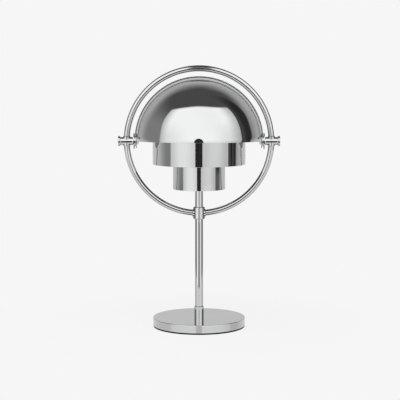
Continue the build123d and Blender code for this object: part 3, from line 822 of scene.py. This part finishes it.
def shade_shape(node, front, ear_diameter, rim_round, sizes):
    """Quarter sphere of thin sheet with rounded edges, and a drilled disc at each pole."""
    radius = width_of(node) / 2
    centre = Vector((0, 0, pivot_height()))
    pole_gap = asin(ear_diameter / 4 / radius)
    shape = bmesh.new()
    start = Matrix.Rotation(-pole_gap, 4, "Y") @ Vector((radius, 0, 0)) + centre
    first = shape.verts.new(start)
    bmesh.ops.spin(
        shape,
        geom=[first],
        cent=centre,
        axis=(0, -1, 0),
        angle=pi - 2 * pole_gap,
        steps=SHADE_STEPS_ACROSS,
    )
    bmesh.ops.spin(
        shape,
        geom=shape.verts[:] + shape.edges[:],
        cent=centre,
        axis=(1 if front else -1, 0, 0),
        angle=sizes.shade_arc,
        steps=SHADE_STEPS_ROUND,
    )
    bmesh.ops.remove_doubles(shape, verts=shape.verts, dist=SAME_POINT)
    bmesh.ops.recalc_face_normals(shape, faces=shape.faces)
    shape.faces.ensure_lookup_table()
    sample = shape.faces[0]
    if sample.normal.dot(sample.calc_center_median() - centre) < 0:
        bmesh.ops.reverse_faces(shape, faces=shape.faces)
    bmesh.ops.solidify(shape, geom=shape.faces[:], thickness=sizes.sheet_thickness)
    break_edges(shape, rim_round)
    for side in (-1, 1):
        ear = bmesh.new()
        outline = (
            (radius - sizes.ear_thickness, sizes.bolt_hole / 2),
            (radius - sizes.ear_thickness, ear_diameter / 2),
            (radius, ear_diameter / 2),
            (radius, sizes.bolt_hole / 2),
        )
        turn_outline(ear, outline, centre, Vector((side, 0, 0)), EAR_STEPS)
        break_edges(ear, sizes.rim_round)
        pressed = bpy.data.meshes.new("ear")
        ear.to_mesh(pressed)
        ear.free()
        shape.from_mesh(pressed)
        bpy.data.meshes.remove(pressed)
    return shape


class LAMP_OT_base(bpy.types.Operator):
    """Dress the base, its foot, cover and screws"""

    bl_idname = "lamp.base"
    bl_label = "Base"

    def execute(self, context):
        dress(chrome_base(), "base_shell")
        dress(foot_rubber(), "foot_pad")
        dress(grained_plastic(), "bottom_cover")
        dress(zinc_plate(), "bottom_screws")
        dress(ballast_paint(), "base_ballast")
        return {"FINISHED"}


class LAMP_OT_electronics(bpy.types.Operator):
    """Dress what the base holds: battery, board, port, switch and button"""

    bl_idname = "lamp.electronics"
    bl_label = "Electronics"

    def execute(self, context):
        dress(shrunk_film(), "battery_pack")
        dress(paired_sleeves(), "battery_leads")
        dress(lead_sleeve(), "lamp_lead")
        dress(solder_mask(), "control_board")
        dress(zinc_plate(), "board_screws")
        dress(port_metal(), "usb_c_port")
        dress(grained_plastic(), "tact_switch")
        dress(turned_nylon(), "switch_plunger")
        dress(chrome_turned(), "power_button")
        return {"FINISHED"}


class LAMP_OT_stem(bpy.types.Operator):
    """Dress the stem with its sleeve, washer and nut"""

    bl_idname = "lamp.stem"
    bl_label = "Stem"

    def execute(self, context):
        dress(chrome_tube(), "stem_tube")
        dress(chrome_turned(), "foot_collar")
        dress(zinc_plate(), "lock_washer", "stem_nut")
        return {"FINISHED"}


class LAMP_OT_ring(bpy.types.Operator):
    """Make the ring's bent tube and dress its collar"""

    bl_idname = "lamp.ring"
    bl_label = "Ring"

    def execute(self, context):
        sizes = context.scene.lamp_sizes
        tube = width_of("ring_tube", 1)
        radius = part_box("ring_tube")[1].z - pivot_height() - tube / 2
        end = width_of("ring_collar", 1) / 2 - sizes.ring_end_depth
        end_turn = asin(end / radius)
        centre = Vector((0, 0, pivot_height()))
        turn_down = Matrix.Rotation(pi / 2 - end_turn, 4, "Y")
        start = Matrix.Translation(centre) @ turn_down @ Matrix.Translation((radius, 0, 0))
        shape = bmesh.new()
        bmesh.ops.create_circle(shape, segments=TUBE_SIDES, radius=tube / 2, matrix=start)
        bmesh.ops.spin(
            shape,
            geom=shape.verts[:] + shape.edges[:],
            cent=centre,
            axis=(0, -1, 0),
            angle=FULL_TURN - 2 * end_turn,
            steps=RING_STEPS,
        )
        bmesh.ops.remove_doubles(shape, verts=shape.verts, dist=SAME_POINT)
        bmesh.ops.holes_fill(shape, edges=[e for e in shape.edges if e.is_boundary], sides=0)
        bmesh.ops.recalc_face_normals(shape, faces=shape.faces)
        finished_piece("ring_fine", shape, chrome_ring(), "frame", "chrome", "ring_tube")
        dress(chrome_turned(), "ring_collar")
        dress(zinc_plate(), "collar_set_screw")
        return {"FINISHED"}


class LAMP_OT_pivots(bpy.types.Operator):
    """Dress both pivots: barrel, bolt, washers, spacer and nut"""

    bl_idname = "lamp.pivots"
    bl_label = "Pivots"

    def execute(self, context):
        for side in ("left", "right"):
            dress(chrome_turned(), f"pivot_barrel_{side}", f"pivot_bolt_{side}")
            dress(chrome_turned(), f"ear_spacer_{side}", f"pivot_nut_{side}")
            dress(chrome_turned(), f"friction_washer_{side}")
            dress(zinc_plate(), f"nut_washer_{side}")
        return {"FINISHED"}


class LAMP_OT_shades(bpy.types.Operator):
    """Make the two nested shades with their ears"""

    bl_idname = "lamp.shades"
    bl_label = "Shades"

    def execute(self, context):
        sizes = context.scene.lamp_sizes
        shades = (
            ("inner_shade", True, sizes.inner_ear, sizes.rim_round),
            ("outer_shade", False, sizes.outer_ear, sizes.outer_rim_round),
        )
        for node, front, ear_diameter, rim_round in shades:
            shape = shade_shape(node, front, ear_diameter, rim_round, sizes)
            finished_piece(f"{node}_spun", shape, chrome_sheet(node), node, "chrome", node)
        return {"FINISHED"}


class LAMP_OT_cylinders(bpy.types.Operator):
    """Make the open cylinders and dress the spiders that carry them"""

    bl_idname = "lamp.cylinders"
    bl_label = "Cylinders"

    def execute(self, context):
        sizes = context.scene.lamp_sizes
        for node in ("large_cylinder", "lower_cylinder", "upper_cylinder"):
            shape = cylinder_shape(node, sizes.sheet_thickness, sizes.rim_round)
            finished_piece(f"{node}_rolled", shape, chrome_sheet(), "frame", "chrome", node)
        dress(chrome_sheet(), "lower_spider", "upper_spider")
        dress(zinc_plate(), "spider_nut")
        return {"FINISHED"}


class LAMP_OT_light_source(bpy.types.Operator):
    """Dress the light source: heat sink, board, chips, screws and diffuser"""

    bl_idname = "lamp.light_source"
    bl_label = "Light Source"

    def execute(self, context):
        dress(turned_aluminium(), "lamp_holder")
        dress(white_mask(), "led_board")
        dress(phosphor(), "led_chips")
        dress(zinc_plate(), "led_screws")
        dress(opal_cup(), "diffuser")
        return {"FINISHED"}


def backdrop_light(nodes, away, lift):
    """What stands behind and beside the lamp: pale at the back, dimmer at the sides, dark on top."""
    ceiling = 0.10
    level = 0.31 + 0.25 * nodes.ease(away, 108, 138)
    level = level + 0.13 * nodes.ease(away, 150, 180)
    low = 0.31 + 0.42 * nodes.ease(away, 84, 128)
    low = low - 0.20 * nodes.ease(lift, -5, -6.5)
    level = towards(level, low, nodes.ease(lift, 1.5, -2.5))
    top = radians(52) - radians(16) * nodes.ease(away, 155, 118)
    return towards(ceiling, level, nodes.ease(lift - top, 19, -17))


def front_light(nodes, turn, away, lift, strength):
    """Light of the lit cloth in front: even above, weaker towards both sides and below the lamp's head."""
    dim = nodes.ease(away, 15, 70) * nodes.ease(lift, 40, 5)
    fade = nodes.ease(turn, 55, 88) + nodes.ease(turn, -58, -82)
    above = (strength - 0.30 * dim) * (1.0 - 0.45 * fade)
    below = 1.22 - 0.20 * nodes.ease(turn, -20, 10)
    below = below * (1.0 - 0.16 * nodes.ease(away, 35, 8))
    below = below * (1.0 - 0.28 * nodes.ease(away, 45, 75))
    below = below * (1.0 + 0.08 * nodes.ease(lift, -5, -6.5))
    return towards(above, below, nodes.ease(lift, 4, -2))


def front_cloth(nodes, turn, lift, sunk, right_edge):
    """1 where the lit cloth hangs: between two upright edges and below a curved one."""
    left_edge = radians(-78.5) + radians(3) * nodes.ease(lift, 35, 8) + radians(1.5) * sunk
    left = nodes.ease(turn - left_edge, -2, 2)
    right = nodes.ease(turn - right_edge, 0.8, -0.8)
    top = radians(67.6) - turn * turn * (0.156 - 0.014 * turn)
    return left * right * nodes.ease(lift - top, 2.5, -2.5)


def dark_flag(nodes, turn, lift, right_edge):
    """1 where a dark cloth hangs at the right, from the lit cloth's edge backwards."""
    far_edge = radians(113) + radians(4) * nodes.ease(lift, 12, 28)
    far_edge = far_edge - radians(9.5) * nodes.ease(lift, 4, -4.5)
    flag = nodes.ease(turn - right_edge, -0.8, 0.8)
    flag = flag * nodes.ease(turn - far_edge, 3, -3)
    flag = flag * nodes.ease(lift, 78, 42)
    return flag * (1.0 - 0.45 * nodes.ease(lift, -4.5, -5))


def studio_by_direction(nodes, wall_strength):
    """The tent round the lamp as its chrome sees it, by direction from the lamp."""
    direction = nodes.add("ShaderNodeTexCoord", output="Generated")
    x, y, z = (nodes.part(direction, axis) for axis in "XYZ")
    turn = nodes.add("ShaderNodeMath", {"operation": "ARCTAN2"}, {0: x, 1: -y})
    lift = nodes.add("ShaderNodeMath", {"operation": "ARCSINE"}, {0: z})
    away = abs(turn)
    sunk = nodes.ease(lift, 1.5, -3)
    right_edge = radians(87) - radians(3) * nodes.ease(lift, 48, 10) - radians(7.2) * sunk

    light = backdrop_light(nodes, away, lift)
    front = front_light(nodes, turn, away, lift, wall_strength)
    light = towards(light, front, front_cloth(nodes, turn, lift, sunk, right_edge))

    cloth = 0.035 + 0.05 * nodes.ease(turn, 100, 88)
    fold = nodes.ease(turn, 84.6, 85.6) * nodes.ease(turn, 89.4, 88)
    cloth = cloth * (1.0 - 0.85 * fold * sunk)
    light = towards(light, cloth, dark_flag(nodes, turn, lift, right_edge))
    return towards(light, TABLE_LIGHT, nodes.ease(lift, -9.8, -11))


def floor_paint(nodes, background):
    """Plain to the camera with a faint shadow near the lamp, and a weak mirror to the chrome."""
    where = nodes.place()
    tone = nodes.cloud(where, 30.0, 3.0, 0.5)
    paint = nodes.blend(tone, opaque(background, 0.97), opaque(background))
    shaded = nodes.add("ShaderNodeBsdfDiffuse", values={"Color": paint})
    plain = nodes.add("ShaderNodeEmission", values={"Color": opaque(background), "Strength": 1.0})
    dim = nodes.add("ShaderNodeEmission", values={"Color": opaque(background), "Strength": 0.74})
    sheen = nodes.add("ShaderNodeBsdfGlossy", values={"Color": (0.22, 0.22, 0.22, 1), "Roughness": 0.12})
    mirrored = nodes.add("ShaderNodeAddShader", values={0: dim, 1: sheen})
    seen = nodes.rise(nodes.ray("Camera") + nodes.ray("Transmission"), 0.0, 1.0)
    x, y = (nodes.part(where, axis) for axis in "XY")
    far = nodes.rise(x * x + y * y, 0.14 * 0.14, 0.28 * 0.28)
    share = seen * (0.91 + 0.09 * far)
    surface = nodes.add("ShaderNodeMixShader", values={0: share, 1: shaded, 2: plain})
    return nodes.add("ShaderNodeMixShader", values={0: nodes.ray("Glossy"), 1: surface, 2: mirrored})


def camera_cloth(nodes):
    """Dark folds of what hides the camera."""
    folds = nodes.cloud(nodes.place((9, 1, 2)), 1.0, 2.0, 0.5)
    cloth = nodes.blend(folds, opaque((0.012, 0.012, 0.012)), opaque((0.055, 0.055, 0.055)))
    return nodes.add("ShaderNodeEmission", values={"Color": cloth, "Strength": 1.0})


def stage_piece(name, shape, material_name, recipe, *inputs):
    """Turns a shape into an object of the stage, with a surface that the recipe makes."""
    mesh = bpy.data.meshes.new(name)
    shape.to_mesh(mesh)
    shape.free()
    piece = bpy.data.objects.new(name, mesh)
    bpy.context.scene.collection.objects.link(piece)
    material = bpy.data.materials.new(material_name)
    material.use_nodes = True
    mesh.materials.append(material)
    nodes = Nodes(material.node_tree)
    nodes.lead_to("ShaderNodeOutputMaterial", recipe(nodes, *inputs))
    return piece


def add_board(shape, depth, middle, width, low, high):
    """Adds an upright rectangle that faces the lamp."""
    place = Matrix.Translation((middle, depth, (low + high) / 2))
    place = place @ Matrix.Rotation(pi / 2, 4, "X") @ Matrix.Diagonal((width, high - low, 1, 1))
    bmesh.ops.create_grid(shape, x_segments=1, y_segments=1, size=0.5, matrix=place)


class LAMP_OT_stage(bpy.types.Operator):
    """Make the floor, the studio's light and the camera"""

    bl_idname = "lamp.stage"
    bl_label = "Stage"

    def execute(self, context):
        studio = context.scene.lamp_studio
        self.make_world(studio)
        self.make_floor(studio)
        self.make_camera_stand(studio)
        self.make_light(studio)
        self.make_camera(studio)
        context.scene.view_settings.view_transform = "Standard"
        return {"FINISHED"}

    def make_world(self, studio):
        world = bpy.data.worlds.new("studio")
        world.use_nodes = True
        bpy.context.scene.world = world
        nodes = Nodes(world.node_tree)
        light = studio_by_direction(nodes, studio.wall_strength)
        grey = nodes.add("ShaderNodeCombineColor", values={0: light, 1: light, 2: light})
        colour = nodes.blend(nodes.ray("Camera"), grey, opaque(studio.background))
        sky = nodes.add("ShaderNodeBackground", values={"Color": colour, "Strength": 1.0})
        nodes.lead_to("ShaderNodeOutputWorld", sky)

    def make_floor(self, studio):
        shape = bmesh.new()
        place = Matrix.Translation(FLOOR_PLACE)
        bmesh.ops.create_circle(shape, cap_ends=True, segments=128, radius=FLOOR_RADIUS, matrix=place)
        stage_piece("floor", shape, "floor_paint", floor_paint, tuple(studio.background))

    def make_camera_stand(self, studio):
        """Dark outline of the camera and its stand, which only the chrome sees."""
        depth = -studio.camera_distance - 0.05
        middle, height = CAMERA_OUTLINE_SHIFT, CAMERA_OUTLINE_HEIGHT
        radius = CAMERA_OUTLINE_RADIUS
        shape = bmesh.new()
        place = Matrix.Translation((middle, depth, height)) @ Matrix.Rotation(pi / 2, 4, "X")
        bmesh.ops.create_circle(shape, cap_ends=True, segments=64, radius=radius, matrix=place)
        add_board(shape, depth, middle, width=2 * radius, low=-0.03, high=height)
        add_board(shape, depth, middle, width=0.35, low=-0.07, high=-0.03)
        add_board(shape, depth, middle=-0.05, width=0.98, low=-1.2, high=-0.07)
        stand = stage_piece("camera_stand", shape, "camera_cloth", camera_cloth)
        stand.visible_camera = False
        stand.visible_diffuse = False
        stand.visible_shadow = False

    def make_light(self, studio):
        lamp = bpy.data.lights.new("overhead", "AREA")
        lamp.shape = "SQUARE"
        lamp.size = OVERHEAD_WIDTH
        lamp.energy = studio.overhead_power
        overhead = bpy.data.objects.new("overhead", lamp)
        overhead.location = OVERHEAD_PLACE
        aim = OVERHEAD_AIM - overhead.location
        overhead.rotation_euler = aim.to_track_quat("-Z", "Y").to_euler()
        overhead.visible_glossy = False
        bpy.context.scene.collection.objects.link(overhead)

    def make_camera(self, studio):
        lens = bpy.data.cameras.new("camera")
        lens.lens = studio.camera_lens
        lens.sensor_width = 36
        camera = bpy.data.objects.new("camera", lens)
        camera.location = (studio.camera_offset, -studio.camera_distance, studio.camera_height)
        camera.rotation_euler = (pi / 2 - studio.camera_tilt, 0, 0)
        bpy.context.scene.collection.objects.link(camera)
        bpy.context.scene.camera = camera


class LAMP_PT_panel(bpy.types.Panel):
    """Sidebar panel that lists the lamp's steps"""

    bl_label = "Cordless Table Lamp"
    bl_idname = "LAMP_PT_panel"
    bl_space_type = "VIEW_3D"
    bl_region_type = "UI"
    bl_category = "Lamp"

    def draw(self, context):
        layout = self.layout
        for group in (context.scene.lamp_sizes, context.scene.lamp_colours, context.scene.lamp_studio):
            column = layout.column(align=True)
            for name in group.__annotations__:
                column.prop(group, name)
        for step in STEPS:
            layout.operator(step.bl_idname)


STEPS = (
    LAMP_OT_base,
    LAMP_OT_electronics,
    LAMP_OT_stem,
    LAMP_OT_ring,
    LAMP_OT_pivots,
    LAMP_OT_shades,
    LAMP_OT_cylinders,
    LAMP_OT_light_source,
    LAMP_OT_stage,
)
GROUPS = (("lamp_sizes", LampSizes), ("lamp_colours", LampColours), ("lamp_studio", LampStudio))


def register():
    for name, group in GROUPS:
        bpy.utils.register_class(group)
        setattr(bpy.types.Scene, name, bpy.props.PointerProperty(type=group))
    for step in STEPS:
        bpy.utils.register_class(step)
    bpy.utils.register_class(LAMP_PT_panel)


def unregister():
    bpy.utils.unregister_class(LAMP_PT_panel)
    for step in reversed(STEPS):
        bpy.utils.unregister_class(step)
    for name, group in reversed(GROUPS):
        delattr(bpy.types.Scene, name)
        bpy.utils.unregister_class(group)


def main():
    register()
    bpy.ops.lamp.base()
    bpy.ops.lamp.electronics()
    bpy.ops.lamp.stem()
    bpy.ops.lamp.ring()
    bpy.ops.lamp.pivots()
    bpy.ops.lamp.shades()
    bpy.ops.lamp.cylinders()
    bpy.ops.lamp.light_source()
    bpy.ops.lamp.stage()


if __name__ == "__main__":
    main()
